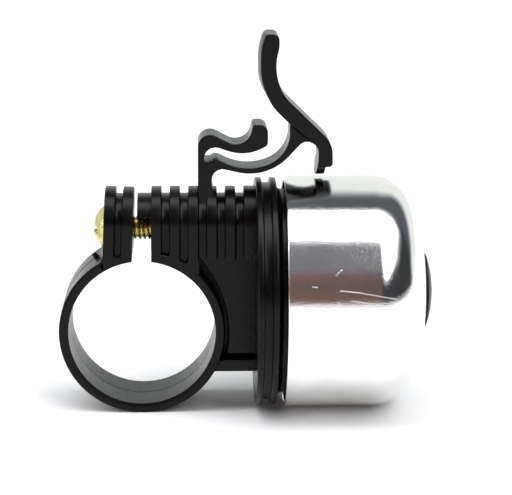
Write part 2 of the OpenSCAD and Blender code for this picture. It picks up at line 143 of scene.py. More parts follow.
def combine(piece, tool, operation):  # union, difference or intersect, and the tool is used up
    pick(piece)
    step = piece.modifiers.new("combine", "BOOLEAN")
    step.object, step.operation, step.solver = tool, operation, "EXACT"
    bpy.ops.object.modifier_apply(modifier=step.name)
    bpy.data.objects.remove(tool)
    return piece


def roundEdges(piece, width, segments=2, limit=40):  # every edge sharper than the limit
    pick(piece)
    step = piece.modifiers.new("edges", "BEVEL")
    step.width, step.segments, step.limit_method = width * mm, segments, "ANGLE"
    step.angle_limit, step.use_clamp_overlap = math.radians(limit), False
    bpy.ops.object.modifier_apply(modifier=step.name)
    return piece


def smooth(piece, limit=50):  # round where the angle is small, with flat faces kept flat
    pick(piece)
    bpy.ops.object.shade_smooth_by_angle(angle=math.radians(limit))
    step = piece.modifiers.new("normals", "WEIGHTED_NORMAL")
    step.keep_sharp, step.weight = True, 80
    bpy.ops.object.modifier_apply(modifier=step.name)
    return piece


def arc(x, z, radius, start, end, step=6):  # points along a circle, from one angle to another
    count = max(2, math.ceil(abs(end - start) / step))
    angles = [math.radians(start + (end - start) * i / count) for i in range(count + 1)]
    return [(x + radius * math.cos(a), z + radius * math.sin(a)) for a in angles]


def roundCorners(corners, step=5):  # a closed outline from x, z, radius corners
    outline = []
    for i, (x, z, radius) in enumerate(corners):
        b = Vector((x, z))
        if not radius:
            outline.append((x, z))
            continue
        toA = (Vector(corners[i - 1][:2]) - b).normalized()
        toC = (Vector(corners[(i + 1) % len(corners)][:2]) - b).normalized()
        half = toA.angle(toC) / 2
        centre = b + (toA + toC).normalized() * radius / math.sin(half)
        start = b + toA * radius / math.tan(half) - centre
        end = b + toC * radius / math.tan(half) - centre
        first = math.degrees(math.atan2(start.y, start.x))
        sweep = math.degrees(math.atan2(end.y, end.x)) - first
        sweep = (sweep + 180) % 360 - 180
        outline += arc(centre.x, centre.y, radius, first, first + sweep, step)
    return outline


def archOutline(halfWidth, top, radius, foot):  # a y, z section with two round upper edges
    side, level = halfWidth - radius, top - radius
    right = arc(side, level, radius, 0, 90)
    left = arc(-side, level, radius, 90, 180)
    return [(-halfWidth, foot), (halfWidth, foot)] + right + left


def boxOf(node):  # a CAD node's corners in millimetres
    low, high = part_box(node)
    return low / mm, high / mm


domeLow, domeHigh = boxOf("bell_dome")
plateLow, plateHigh = boxOf("back_plate")
screwLow, screwHigh = boxOf("clamp_screw")
bodyLow, bodyHigh = boxOf("clamp_body")
bellZ = (domeLow.z + domeHigh.z) / 2
screwZ = (screwLow.z + screwHigh.z) / 2
halfClamp = bodyHigh.y
print("frame loaded: bell axis at z", round(bellZ, 3), "screw axis at z", round(screwZ, 3))


# the clamp moulding: band, ear, ribbed block and web

band = {
    "bore": 11.1,
    "outer": -bodyLow.z,
    "edge": 0.3,  # rounding of the outer edges
    "boreEdge": 0.14,
    "partLine": 0.15,
    "grooveWidth": 0.5,
    "grooveDepth": 0.2,
    "grooveSlope": 0.08,
    "start": 80,  # where the band leaves the block
    "end": -250,  # and where it meets the ear
    "steps": 220,
    "still": -0.66,  # x where the flexing stretch begins
    "moves": -1.08,  # and where all of it moves
}

block = {
    "from": 1.45,
    "to": plateLow.x + 0.3,
    "top": bodyHigh.z,
    "crest": 5.3,
    "ribs": 6,
    "ribWidth": 1.54,
    "pitch": 2.78,
    "grooveDepth": 1.04,
    "ledge": 11.35,  # underside of the ribs
    "foot": 9.2,
    "firstFoot": 12.45,  # the first groove stops higher
    "edge": 0.16,
    "guardLength": 2.08,
    "guardUnderside": 17.6,
    "guardEdge": 0.12,
}

ear = {
    "outer": -6.2,
    "inner": -1.84,
    "top": bodyHigh.z - 0.18,
    "ribWidth": 1.65,
    "foot": 9.4,
    "grooveFoot": 12.05,
    "lean": 2,
    "blend": 1.6,
    "blendEdge": 0.15,
    "blendRoot": ((-6.2, 9.5), (-5.2, 10.1)),  # inside the band and the ear
}

web = {
    "panel": 4.1,  # half thickness of the panel
    "core": 0.9,  # and of the floor of the groove round it
    "flange": 5.1,
    "flangeTop": -4.5,
    "bottom": -6.3,
    "grooveWidth": 0.7,
    "edgeCentre": (-5.39, -0.71),
    "edgeRadius": 18.45,
    "fillet": 0.7,
    "edge": 0.2,
    "sunk": 0.6,  # how far it reaches into the band
    "flangeFrom": -31,  # angle round the bore
}

gate = {"at": (-6.6, 0, 10.0), "radius": 0.42, "length": 1.35, "angle": 127, "edge": 0.08}


def bandSection():  # y, radius outline of the band
    half, edge, outer = halfClamp - flush, band["edge"], band["outer"]
    inner = band["bore"] - past  # the bore is cut to size later
    groove, depth, soft = band["grooveWidth"] / 2, band["grooveDepth"], band["grooveSlope"]
    return (
        [(-half, inner)]
        + arc(-half + edge, outer - edge, edge, 180, 90, 22)
        + [(-groove - soft, outer), (-groove, outer - soft), (-groove + soft, outer - depth)]
        + [(groove - soft, outer - depth), (groove, outer - soft), (groove + soft, outer)]
        + arc(half - edge, outer - edge, edge, 90, 0, 22)
        + [(half, inner)]
    )


def makeBand():
    start = math.radians(band["start"])
    points = [(r * math.cos(start), y, r * math.sin(start)) for y, r in bandSection()]
    piece = drawLine("clampMoulding", points)
    bpy.ops.mesh.edge_face_add()
    sweep = math.radians(band["end"] - band["start"])
    bpy.ops.mesh.spin(steps=band["steps"], angle=sweep, center=(0, 0, 0), axis=(0, 1, 0))
    return closeUp(piece)


def grooveCutter(lowX, highX, foot, section):  # round at the foot, and clear of the block's core
    middle, radius = (lowX + highX) / 2, (highX - lowX) / 2
    high = block["top"] + 2 * past
    outline = arc(middle, foot, radius, 180, 360, 15) + [(highX, high), (lowX, high)]
    slab = plate("grooveCutter", outline, -halfClamp - past, halfClamp + past)
    return combine(slab, bar("grooveCore", section, lowX - past, highX + past), "DIFFERENCE")


def coreSection(top):
    depth = block["grooveDepth"]
    return archOutline(halfClamp - depth, top - depth, block["crest"] - depth, 0)


def groovesEnd():  # just right of the third rib, where the slab under the ribs stops
    return block["from"] + 2 * block["pitch"] + block["ribWidth"] + 0.07


def makeBlock():
    section = archOutline(halfClamp, block["top"], block["crest"], block["foot"])
    piece = bar("ribbedBlock", section, block["from"], block["to"])
    for i in range(block["ribs"] - 1):
        low = block["from"] + i * block["pitch"] + block["ribWidth"]
        high = block["from"] + (i + 1) * block["pitch"]
        foot = block["firstFoot"] if i == 0 else block["ledge"]
        combine(piece, grooveCutter(low, high, foot, coreSection(block["top"])), "DIFFERENCE")
    roundEdges(closeDoubles(piece), block["edge"])
    left, right, low, high = groovesEnd(), block["to"] + past, block["foot"] - past, block["ledge"]
    under = [(left, low), (right, low), (right, high), (left, high)]
    return combine(piece, plate("ledge", under, -halfClamp - past, halfClamp + past), "DIFFERENCE")


def makeGuard():  # the cover over the top of the screw
    under, depth = block["guardUnderside"], block["grooveDepth"]
    radius, side = block["crest"] - depth, halfClamp - block["crest"]
    rise = under - (block["top"] - block["crest"])
    edgeY = side + math.sqrt(radius**2 - rise**2)
    crest = [(y, z) for y, z in coreSection(block["top"]) if z > under + 0.1]
    section = [(-edgeY, under), (edgeY, under)] + crest
    piece = bar("screwGuard", section, block["from"] - block["guardLength"], block["from"] + 1)
    return roundEdges(piece, block["guardEdge"])


def makeEar():
    section = archOutline(halfClamp, ear["top"], block["crest"], ear["foot"])
    piece = bar("clampEar", section, ear["outer"], ear["inner"])
    low, high = ear["outer"] + ear["ribWidth"], ear["inner"] - ear["ribWidth"]
    combine(piece, grooveCutter(low, high, ear["grooveFoot"], coreSection(ear["top"])), "DIFFERENCE")
    roundEdges(piece, block["edge"])
    radius, outer = ear["blend"], band["outer"]
    x = ear["outer"] - radius
    z = math.sqrt((outer + radius) ** 2 - x**2)
    down = math.degrees(math.atan2(-z, -x))  # from the fillet's centre to the bore's
    root = [*ear["blendRoot"], (ear["blendRoot"][1][0], z)]
    side = halfClamp - flush
    fillet = plate("earBlend", arc(x, z, radius, 0, down) + root, -side, side)
    roundEdges(fillet, ear["blendEdge"])
    combine(piece, fillet, "UNION")
    edit(piece)
    angle = -math.radians(ear["lean"])
    bpy.ops.transform.rotate(value=angle, orient_axis="Y", center_override=(0, 0, 0))
    return closeUp(piece)


def panelEdge(low, high):  # the panel's side towards the band, which drifts away as it rises
    middle, radius = web["edgeCentre"], web["edgeRadius"]
    start, end = (math.degrees(math.asin((z - middle[1]) / radius)) for z in (low, high))
    return arc(*middle, radius, start, end, 3)


def makeWeb():  # floor, panel and bottom flange
    right, top, bottom = block["to"], block["ledge"] + 0.7, web["bottom"]
    inside, flangeTop, low = band["outer"] - web["sunk"], web["flangeTop"], web["bottom"] + 0.3
    above = flangeTop + web["grooveWidth"]
    start, end = (math.degrees(math.asin(z / inside)) for z in (low, block["foot"]))
    core = arc(0, 0, inside, start, end) + [(groovesEnd() - 0.5, top), (right, top), (right, low)]
    piece = plate("web", core, -web["core"], web["core"])
    panel = panelEdge(above, top) + [(right, top), (right, above)]
    panel = roundEdges(plate("panel", panel, -web["panel"], web["panel"]), web["edge"])
    combine(piece, panel, "UNION")
    fillet, drop = web["fillet"], bottom - web["fillet"]
    x = math.sqrt((band["outer"] + fillet) ** 2 - drop**2)
    start = math.degrees(math.atan2(-drop, -x))
    flange = arc(x, drop, fillet, start, 90) + [(right, bottom), (right, flangeTop)]
    flange += [(math.sqrt(inside**2 - flangeTop**2), flangeTop)]
    angle = math.radians(web["flangeFrom"])
    flange += [(inside * math.cos(angle), inside * math.sin(angle))]
    solid = roundEdges(plate("flange", flange, -web["flange"], web["flange"]), web["edge"])
    return combine(piece, solid, "UNION")


def makeGate():  # the stub left where the moulding was fed
    stub = bar("gate", arc(0, 0, gate["radius"], 0, 340, 20), 0, gate["length"])
    roundEdges(stub, gate["edge"])
    edit(stub)
    angle = math.radians(gate["angle"])
    bpy.ops.transform.rotate(value=angle, orient_axis="Y", center_override=(0, 0, 0))
    bpy.ops.transform.translate(value=Vector(gate["at"]) * mm)
    return closeUp(stub)


def boreCutter():  # opens out at both ends, to leave the bore's edges rounded
    edge, half, r = band["boreEdge"], halfClamp, band["bore"]
    profile = [(-half - past, 0), (-half - past, r + edge * 2)]
    profile += [(-half - 0.01, r + edge), (-half + edge * 0.35, r + edge * 0.3), (-half + edge, r)]
    profile += [(-band["partLine"], r), (-band["partLine"] / 3, r + band["partLine"] / 2)]
    profile += [(-x, z) for x, z in reversed(profile)]
    piece = drawLine("boreCutter", [(0, y, r) for y, r in profile])
    bpy.ops.mesh.spin(steps=288, angle=math.tau, center=(0, 0, 0), axis=(0, 1, 0))
    return closeUp(piece)


def roundCutter(name, lowX, highX, radius):  # along the clamp screw's axis
    return turn(name, [(lowX, 0), (lowX, radius), (highX, radius), (highX, 0)], screwZ, 48)


def cutNutPocket(piece):
    gap, far = nut["gap"], halfClamp + past
    flat = nut["flats"] / 2 + gap
    point = flat / math.cos(math.radians(30))
    pocket = [(-point, 0), (-point / 2, flat), (far, flat), (far, -flat), (-point / 2, -flat)]
    pocket = [(y, z + screwZ) for y, z in pocket]
    combine(piece, bar("nutPocket", pocket, nutLow.x - gap, nutHigh.x + gap), "DIFFERENCE")


def makeClampMoulding():  # the parts are cut one by one, then made one mesh
    ring, ribs, lug = makeBand(), makeBlock(), makeEar()
    for part in (ring, ribs, lug):
        combine(part, boreCutter(), "DIFFERENCE")
    hole, seat = (screw[size] + screw["clearance"] for size in ("crest", "headRadius"))
    left, right = ear["outer"] - 2 * past, screwHigh.x + past
    for part in (ribs, lug):
        combine(part, roundCutter("screwHole", left, right, hole), "DIFFERENCE")
    combine(lug, roundCutter("headSeat", left - past, screw["seat"], seat), "DIFFERENCE")
    cutNutPocket(ribs)
    piece = joinUp([ring, ribs, lug, makeGuard(), makeWeb(), makeGate()])
    smooth(piece)
    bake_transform(piece)
    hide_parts("clamp_body", "clamp_jaw")
    return piece


# clamp screw and nut

nutLow, nutHigh = boxOf("clamp_nut")

screw = {
    "crest": 1.92,
    "root": 1.56,
    "pitch": 0.7,
    "headRadius": (screwHigh.z - screwLow.z) / 2,
    "headHeight": 1.85,
    "seat": -5.546,
    "slotWidth": 0.9,
    "slotDepth": 0.8,
    "crossLength": 4,
    "slotEdge": 0.05,
    "clearance": 0.3,
    "ridge": (0.3, 0.35, 0.4),  # along one pitch, the sides and the middle of the thread's crest
    "rootEnds": (0.08, 0.62),
    "crestEdge": 0.03,
}

nut = {"flats": nutHigh.z - nutLow.z, "gap": 0.08, "chamfer": 0.35, "boreChamfer": 0.3}


def makeHead():
    r, h = screw["headRadius"], screw["headHeight"]
    top, under = screwLow.x, screwLow.x + h
    ball = (r**2 + h**2) / (2 * h)
    rise = math.degrees(math.asin(r / ball))
    dome = [(x, z) for x, z in arc(top + ball, 0, ball, 180, 180 - rise + 2.5, 3)]
    rim = [(under - 0.14, r - 0.01), (under - 0.04, r - 0.05), (under, r - 0.16)]
    dome[0] = (top, 0)
    piece = turn("clampScrew", dome + rim + [(under, 0)], screwZ, 96)
    for length, width in ((2 * r, screw["slotWidth"]), (screw["slotWidth"], screw["crossLength"])):
        outline = [(-length / 2, -width / 2), (length / 2, -width / 2)]
        outline = [(y, screwZ + z) for y, z in outline + [(-y, -z) for y, z in outline]]
        cutter = bar("slot", outline, top - past, top + screw["slotDepth"])
        combine(piece, cutter, "DIFFERENCE")
    return roundEdges(piece, screw["slotEdge"], 2, 35)


def makeThread():  # a V drawn once and wound along the screw
    low, pitch = screw["seat"] - 0.3, screw["pitch"]
    turns = int((screwHigh.x - low) / pitch) - 1
    root, crest, shoulder = screw["root"], screw["crest"], screw["crest"] - screw["crestEdge"]
    (rise, fall), (left, middle, right) = screw["rootEnds"], screw["ridge"]
    shape = [(0, root), (rise, root), (left, shoulder), (middle, crest), (right, shoulder)]
    shape += [(fall, root), (pitch, root)]
    points = [(low + x, 0, screwZ + r) for x, r in shape]
    piece = drawLine("thread", points)
    bpy.ops.object.mode_set(mode="OBJECT")
    bpy.ops.object.empty_add(location=(0, 0, screwZ * mm))
    centre = bpy.context.active_object
    step = piece.modifiers.new("wind", "SCREW")
    step.object, step.axis, step.screw_offset = centre, "X", pitch * mm
    step.iterations, step.steps, step.render_steps = turns, 40, 40
    step.use_merge_vertices, step.merge_threshold = True, finestGap
    bpy.context.view_layer.update()
    pick(piece)
    bpy.ops.object.modifier_apply(modifier=step.name)
    bpy.data.objects.remove(centre)
    edit(piece)
    bpy.ops.mesh.remove_doubles(threshold=wideGap)
    bpy.ops.mesh.select_all(action="DESELECT")
    bpy.ops.mesh.select_non_manifold()
    bpy.ops.mesh.edge_face_add()
    return closeUp(piece, wideGap)


def makeClampScrew():
    piece = joinUp([makeHead(), makeThread()])
    smooth(piece, 35)
    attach(piece, "screw")
    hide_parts("clamp_screw")
    return piece


def makeClampNut():
    flat = nut["flats"] / 2
    point = flat / math.cos(math.radians(30))
    angles = [i * math.tau / 6 for i in range(6)]
    outline = [(point * math.cos(a), point * math.sin(a)) for a in angles]
    low, high, chamfer, mouth = nutLow.x, nutHigh.x, nut["chamfer"], nut["boreChamfer"]
    piece = bar("clampNut", [(y, z + screwZ) for y, z in outline], low, high)
    bore = screw["crest"] + screw["clearance"]
    shape = [(low, bore + mouth), (low, flat - 0.05), (low + chamfer, point), (high - chamfer, point)]
    shape += [(high, flat - 0.05), (high, bore + mouth), (high - mouth, bore), (low + mouth, bore)]
    combine(piece, turn("nutShape", shape + shape[:1], screwZ, 96), "INTERSECT")
    smooth(closeDoubles(piece), 25)
    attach(piece, "mount")
    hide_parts("clamp_nut")
    return piece


# back plate

drum = {
    "flange": 0.97,
    "gap": 1.2,
    "depth": 0.75,
    "edge": 0.24,
    "floor": 2,
    "neck": 15.65,
    "neckWall": 1.5,
    "neckEnd": 24.49,
    "fillet": 0.8,
    "pillar": 4.2,
    "hole": 1.5,
    "holeDepth": 11,
    "lip": 0.2,  # rounding of the neck's and the pillar's ends
    "corner": 0.6,  # and of the corners inside
    "grooveCorner": 0.12,
}


def makeBackPlate():
    low, high, rim = plateLow.x, plateHigh.x, plateHigh.z - bellZ
    edge, wide, deep = drum["edge"], drum["flange"], rim - drum["depth"]
    second = low + wide + drum["gap"]
    end, neck, fillet = second + wide, drum["neck"], drum["fillet"]
    soft, lip, corner, neckEnd = drum["grooveCorner"], drum["lip"], drum["corner"], drum["neckEnd"]

    def flange(x):  # over the rim of one flange
        left, right = x + edge, x + wide - edge
        return arc(left, rim - edge, edge, 180, 90, 22) + arc(right, rim - edge, edge, 90, 0, 22)

    outside = [(low, 0)] + flange(low)
    outside += [(low + wide, deep + soft), (low + wide + soft, deep)]
    outside += [(second - soft, deep), (second, deep + soft)]
    outside += flange(second) + arc(end + fillet, neck + fillet, fillet, 180, 270, 15)
    outside += arc(neckEnd - lip, neck - lip, lip, 90, 0, 30)
    inner, floor, pillar = neck - drum["neckWall"], low + drum["floor"], drum["pillar"]
    inside = arc(neckEnd - lip, inner + lip, lip, 0, -90, 30)
    inside += arc(floor + corner, inner - corner, corner, 90, 180, 22)
    inside += arc(floor + corner, pillar + corner, corner, 180, 270, 22)
    inside += arc(high - lip, pillar - lip, lip, 90, 0, 30)
    bottom = high - drum["holeDepth"]
    inside += [(high, drum["hole"]), (bottom, drum["hole"]), (bottom, 0)]
    piece = turn("backPlate", outside + inside, bellZ, 160)
    smooth(piece)
    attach(piece, "mount")
    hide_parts("back_plate")
    return piece


# striker: post with its stop hook, spring arm, thumb lever and hammer

striker = {
    "armWidth": 6.2,
    "leverWidth": 6.9,
    "armZ": 23.93,
    "edge": 0.22,
    "crown": 0.42,  # how far the thumb face bulges across its width
    "thumbFoot": 34.4,
    "thumbMiddle": 18.95,
    "tipRadius": 4.5,
    "tipHeight": 1.6,
    "tipZ": 23.39,
    "tipX": (26, 28.2),
    "postBack": -8.67,
    "postFront": -6.57,
    "postFoot": -5.68,
    "notchBack": -7.75,
    "cut": -4.6,  # where the arm is parted from the post
    "still": 13.5,  # x where the flexing stretch begins
    "moves": 17.2,  # and where all of it moves
}

hookShape = [
    (striker["postBack"], 7.05, 1.84),
    (-1.4, 3.38, 2.36),
    (-0.44, 7.38, 0.5),
    (1.8, 7.38, 1.2),
    (1.8, 4.25, 0.75),
    (-1.57, 2.55, 6.5),
    (striker["notchBack"], 4.62, 1.72),
    (striker["notchBack"], 1.78, 0.3),
]

armTopShape = [
    (striker["postFront"] - 0.25, 1.8, 0.6),
    (striker["postFront"] + 0.52, 2.29, 1),
    (-1.26, 0.07, 7.8),
    (5.07, 2.73, 5.1),
]

leverShape = [
    (5.05, 7.53, 0.5),
    (2.38, 10.1, 7),
    (0.72, 13.91, 9),
    (0.72, 18.7, 8),
    (1.47, 20.93, 0.7),
    (3.4, 20.85, 0.9),
    (3.42, 18.9, 4),
    (2.7, 15.98, 8),
    (3.85, 11.98, 6),
    (11.49, 4.58, 4),
]

hammerShape = [
    (11.49, 1.06, 0.5),
    (10.4, 1.06, 0.15),
    (10.25, -0.54, 0.15),
    (8.95, -0.54, 0.15),
    (9.35, 2.06, 1),
]

undersideShape = [
    (9.35, 7.42, 1.65),
    (1.86, -0.82, 7.94),
    (striker["postFront"], 1.04, 1.6),
    (striker["postFront"], -2, 1.2),
    (striker["postFront"] + 0.7, -4, 0),
    (striker["postFront"] + 0.7, striker["postFoot"], 0),
    (striker["postBack"], striker["postFoot"], 0),
]


def strikerOutline():  # moved to its place over the block
    outline = roundCorners(hookShape + armTopShape + leverShape + hammerShape + undersideShape)
    return [(x + plateLow.x, z + striker["armZ"]) for x, z in outline]


def splitOutline(outline, cutX):  # the two loops that the arm's cut leaves
    hits = []
    for i, (a, b) in enumerate(zip(outline, outline[1:] + outline[:1])):
        if (a[0] - cutX) * (b[0] - cutX) < 0:
            share = (cutX - a[0]) / (b[0] - a[0])
            hits.append((i, (cutX, a[1] + share * (b[1] - a[1]))))
    hits = sorted(sorted(hits, key=lambda hit: hit[1][1])[:2])  # the lowest two are the arm's
    (i, first), (j, second) = hits
    moving = [first] + outline[i + 1 : j + 1] + [second]
    fixed = outline[: i + 1] + [first, second] + outline[j + 1 :]
    return fixed, moving


def selectEdges(piece, test):  # in edit mode, the edges whose two ends pass the test
    bpy.ops.mesh.select_all(action="DESELECT")
    bpy.ops.object.mode_set(mode="OBJECT")
    points = [v.co / mm for v in piece.data.vertices]
    for e in piece.data.edges:
        e.select = test(points[e.vertices[0]], points[e.vertices[1]])
    bpy.ops.object.mode_set(mode="EDIT")


def roundSides(piece, half, cutX, width):  # the outline's two edges, but not where the arm is cut
    edit(piece)
    bpy.ops.mesh.select_mode(type="EDGE")

    def onOutline(a, b):
        flat = abs(abs(a.y) - half) < 1e-3 and abs(a.y - b.y) < 1e-3
        return flat and not (abs(a.x - cutX) < 1e-3 and abs(b.x - cutX) < 1e-3)

    selectEdges(piece, onOutline)
    bpy.ops.mesh.bevel(offset=width * mm, segments=3, affect="EDGES", clamp_overlap=False)
    bpy.ops.mesh.select_mode(type="VERT")
    return closeUp(piece)


def crownThumb(piece):  # the thumb face bulges between its two long edges
    half, foot = striker["leverWidth"] / 2, striker["thumbFoot"]
    for v in piece.data.vertices:
        x, y, z = v.co / mm
        if z > foot and x < striker["thumbMiddle"] + abs(z - foot - 3.6) * 0.15:
            rise = min(1, (z - foot) / 3) * striker["crown"]
            v.co.x -= rise * max(0, 1 - (y / half) ** 2) * mm


def roundTip(piece):  # the hammer's tip is round across its width
    tip, radius, outer = striker["tipZ"], striker["tipRadius"], striker["leverWidth"]
    left, right, foot, top = *striker["tipX"], tip - 0.1, tip + striker["tipHeight"]
    sides = bar("tipSides", [(-outer, foot), (outer, foot), (outer, top), (-outer, top)], left, right)
    left, right = left - past, right + past
    line = [(left, 0), (left, radius), (right, radius), (right, 0)]
    rod = turn("tipRod", line, tip + radius, 96)
    return combine(piece, combine(sides, rod, "DIFFERENCE"), "DIFFERENCE")


wideShape = [(4.7, 7.8), (8.2, 5), (8.2, -3), (14, -3), (14, 25), (-1, 25), (-1, 7.8)]


def leverZone():  # where the lever takes over from the narrower arm
    zone = [(x + plateLow.x, z + striker["armZ"]) for x, z in wideShape]
    return plate("leverZone", zone, -striker["leverWidth"], striker["leverWidth"])


def makeWideLever(moving):
    half = striker["leverWidth"] / 2
    rows = [half * i / 8 for i in range(-8, 9)]
    piece = drawLine("wideLever", [(x, rows[0], z) for x, z in moving])
    bpy.ops.mesh.edge_face_add()
    for a, b in zip(rows, rows[1:]):
        extrude((0, b - a, 0))
    closeUp(piece)
    combine(piece, leverZone(), "INTERSECT")
    crownThumb(roundTip(piece))
    return roundSides(piece, half, 0, striker["edge"])


def makeStriker():
    half = striker["armWidth"] / 2
    cutX = striker["cut"] + plateLow.x
    fixed, moving = splitOutline(strikerOutline(), cutX)
    post = roundSides(plate("strikerPost", fixed, -half, half), half, cutX, striker["edge"])
    smooth(post)
    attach(post, "mount")
    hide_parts("striker_post")
    lever = combine(plate("strikerLever", moving, -half, half), leverZone(), "DIFFERENCE")
    roundSides(lever, half, cutX, striker["edge"])
    joinUp([lever, makeWideLever(moving)])
    smooth(lever)
    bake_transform(lever)
    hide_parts("striker_lever")
    return post, lever


# dome and cap, with the dome's hole for the fixing

dome = {
    "wall": 0.8,
    "shoulder": 6.5,
    "crown": 37,
    "well": 4.8,
    "wellDepth": 2.8,
    "hole": 1.5,
    "rimEdge": 0.28,
    "wellCorner": 0.3,
}

cap = {"radius": 5.75, "edge": 0.35, "rise": 1.0, "skirt": 1.6, "skirtWall": 0.8, "gap": 0.05}


def crownX(radius, sunk=0):  # x of the crown's surface at a radius
    return crownTop - dome["crown"] + math.sqrt((dome["crown"] - sunk) ** 2 - radius**2)


crownTop = domeHigh.x + dome["crown"] - math.sqrt(dome["crown"] ** 2 - dome["well"] ** 2)


def cupLine(sunk, innerR):  # from the rim over the shoulder to a radius on the crown
    outer = (domeHigh.z - domeLow.z) / 2 - sunk
    r, crown = dome["shoulder"] - sunk, dome["crown"] - sunk
    middle = crownTop - dome["crown"]
    shoulderX = middle + math.sqrt((crown - r) ** 2 - (outer - r) ** 2)
    lean = math.degrees(math.atan2(outer - r, shoulderX - middle))
    line = arc(shoulderX, outer - r, r, 90, lean, 3)
    end = math.degrees(math.asin(innerR / crown))
    return line + arc(middle, 0, crown, lean, end, 1.2)[1:]


def makeDome():
    rim, outer = domeLow.x, (domeHigh.z - domeLow.z) / 2
    edge, wall, well = dome["rimEdge"], dome["wall"], dome["well"]
    floor, hole, corner = crownTop - dome["wellDepth"], dome["hole"], dome["wellCorner"]
    back, outside = floor - wall, well + wall
    line = arc(rim + edge, outer - edge, edge, 180, 90, 15) + cupLine(0, well + 0.15)
    line += [(crownX(well) - 0.1, well), (floor + corner, well), (floor, well - corner), (floor, hole)]
    line += [(back, hole), (back, outside - corner), (back + corner, outside)]
    line += list(reversed(cupLine(wall, well + wall)))
    line += [(rim + edge, outer - wall), (rim + 0.08, outer - wall + 0.06), (rim, outer - edge)]
    piece = turn("bellDome", line, bellZ, 192)
    smooth(piece)
    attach(piece, "mount")
    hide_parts("bell_dome")
    return piece


def makeCap():
    r, wall, skirt = cap["radius"], cap["skirtWall"], dome["well"] - cap["gap"]
    seat = crownX(r) + 0.01
    edgeX = seat + cap["edge"] - 0.01
    ball = (r**2 + cap["rise"] ** 2) / (2 * cap["rise"])
    rise = math.degrees(math.asin(r / ball))
    top = arc(edgeX + cap["rise"] - ball, 0, ball, 0, rise - 1.2, 1.2)
    line = [(top[0][0], 0)] + top[1:] + [(edgeX - 0.08, r), (seat + 0.1, r), (seat, r - 0.1)]
    line += [(crownX(skirt + 0.1) + 0.01, skirt + 0.1), (crownX(skirt), skirt)]
    bottom, inner = crownTop - cap["skirt"], skirt - wall
    line += [(bottom + 0.15, skirt), (bottom, skirt - 0.15), (bottom, inner)]
    line += [(edgeX - 0.1, inner), (edgeX - 0.1, 0)]
    piece = turn("domeCap", line, bellZ, 128)
    smooth(piece)
    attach(piece, "mount")
    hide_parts("dome_cap")
    return piece


clampMoulding = makeClampMoulding()
print("clamp moulding made")
clampScrew = makeClampScrew()
clampNut = makeClampNut()
print("screw and nut made")
backPlate = makeBackPlate()
strikerPost, strikerLever = makeStriker()
print("back plate and striker made")
bellDome = makeDome()
domeCap = makeCap()
print("dome and cap made")


# materials: one class for the node maths, then one function for each finish


class Link:  # a shader socket that takes part in sums
    def __init__(self, tree, socket=None):
        self.tree, self.socket = tree, socket

    def node(self, kind, inputs=None, output=0, **settings):
        made = self.tree.nodes.new(kind)
        for key, value in settings.items():
            setattr(made, key, value)
        for key, value in (inputs or {}).items():
            if isinstance(value, Link):
                self.tree.links.new(value.socket, made.inputs[key])
            else:
                made.inputs[key].default_value = value
        return Link(self.tree, made.outputs[output])

    def maths(self, operation, a, b=0.0):
        return self.node("ShaderNodeMath", {0: a, 1: b}, operation=operation)

    def __add__(self, other):
        return self.maths("ADD", self, other)

    def __radd__(self, other):
        return self.maths("ADD", other, self)

    def __sub__(self, other):
        return self.maths("SUBTRACT", self, other)

    def __rsub__(self, other):
        return self.maths("SUBTRACT", other, self)

    def __mul__(self, other):
        return self.maths("MULTIPLY", self, other)

    def __rmul__(self, other):
        return self.maths("MULTIPLY", other, self)


def ease(value, low, high):  # 0 below low, 1 above high, smooth between
    inputs = {0: value, 1: low, 2: high}
    return value.node("ShaderNodeMapRange", inputs, interpolation_type="SMOOTHSTEP")


def blendColours(factor, a, b):
    a, b = (c if isinstance(c, Link) else (*c, 1) for c in (a, b))
    return factor.node("ShaderNodeMix", {0: factor, 6: a, 7: b}, output=2, data_type="RGBA")


def noise(start, place, scale, detail=2.0, roughness=0.5):
    inputs = {"Vector": place, "Scale": scale, "Detail": detail, "Roughness": roughness}
    return start.node("ShaderNodeTexNoise", inputs)


def stretch(start, place, amounts):
    inputs = {"Vector": place, "Scale": amounts}
    return start.node("ShaderNodeMapping", inputs)


def newMaterial(name):
    material = bpy.data.materials.new(name)
    material.use_nodes = True
    tree = material.node_tree
    start = Link(tree)
    place = start.node("ShaderNodeTexCoord", output="Object")
    return material, tree.nodes["Principled BSDF"], start, place


def plugIn(shader, **values):
    for name, value in values.items():
        socket = shader.inputs[name.replace("_", " ")]
        if isinstance(value, Link):
            value.tree.links.new(value.socket, socket)
        else:
            socket.default_value = value


def bump(start, height, depth, under=None):  # depth in millimetres
    inputs = {"Height": height, "Strength": 1.0, "Distance": depth * mm}
    if under:
        inputs["Normal"] = under
    return start.node("ShaderNodeBump", inputs)


nylonFinish = {
    "dark": (0.0012, 0.0011, 0.0013),
    "light": (0.0026, 0.0025, 0.0028),
    "rough": 0.29,
    "streaks": (3, 0.16, 0.5),  # how the streaks are squeezed along x, y and z
    "grain": 0.012,
    "shine": 0.17,
}

capFinish = {
    "dark": (0.004, 0.004, 0.0045),
    "light": (0.008, 0.008, 0.0085),
    "rough": 0.36,
    "streaks": (1.2, 1.2, 1.2),
    "grain": 0.006,
    "shine": 0.14,
}

domeFinish = {
    "dull": (0.86, 0.865, 0.85),
    "bright": (0.93, 0.93, 0.915),
    "rough": 0.075,
    "sandDepth": 0.012,
    "scratchColour": (0.42, 0.41, 0.4),
    "scratchDepth": 0.02,
}

yellowFinish = {"pale": (0.7, 0.63, 0.3), "warm": (0.45, 0.38, 0.11), "rough": 0.26}
whiteFinish = {"pale": (0.62, 0.64, 0.66), "warm": (0.55, 0.56, 0.6), "rough": 0.3}


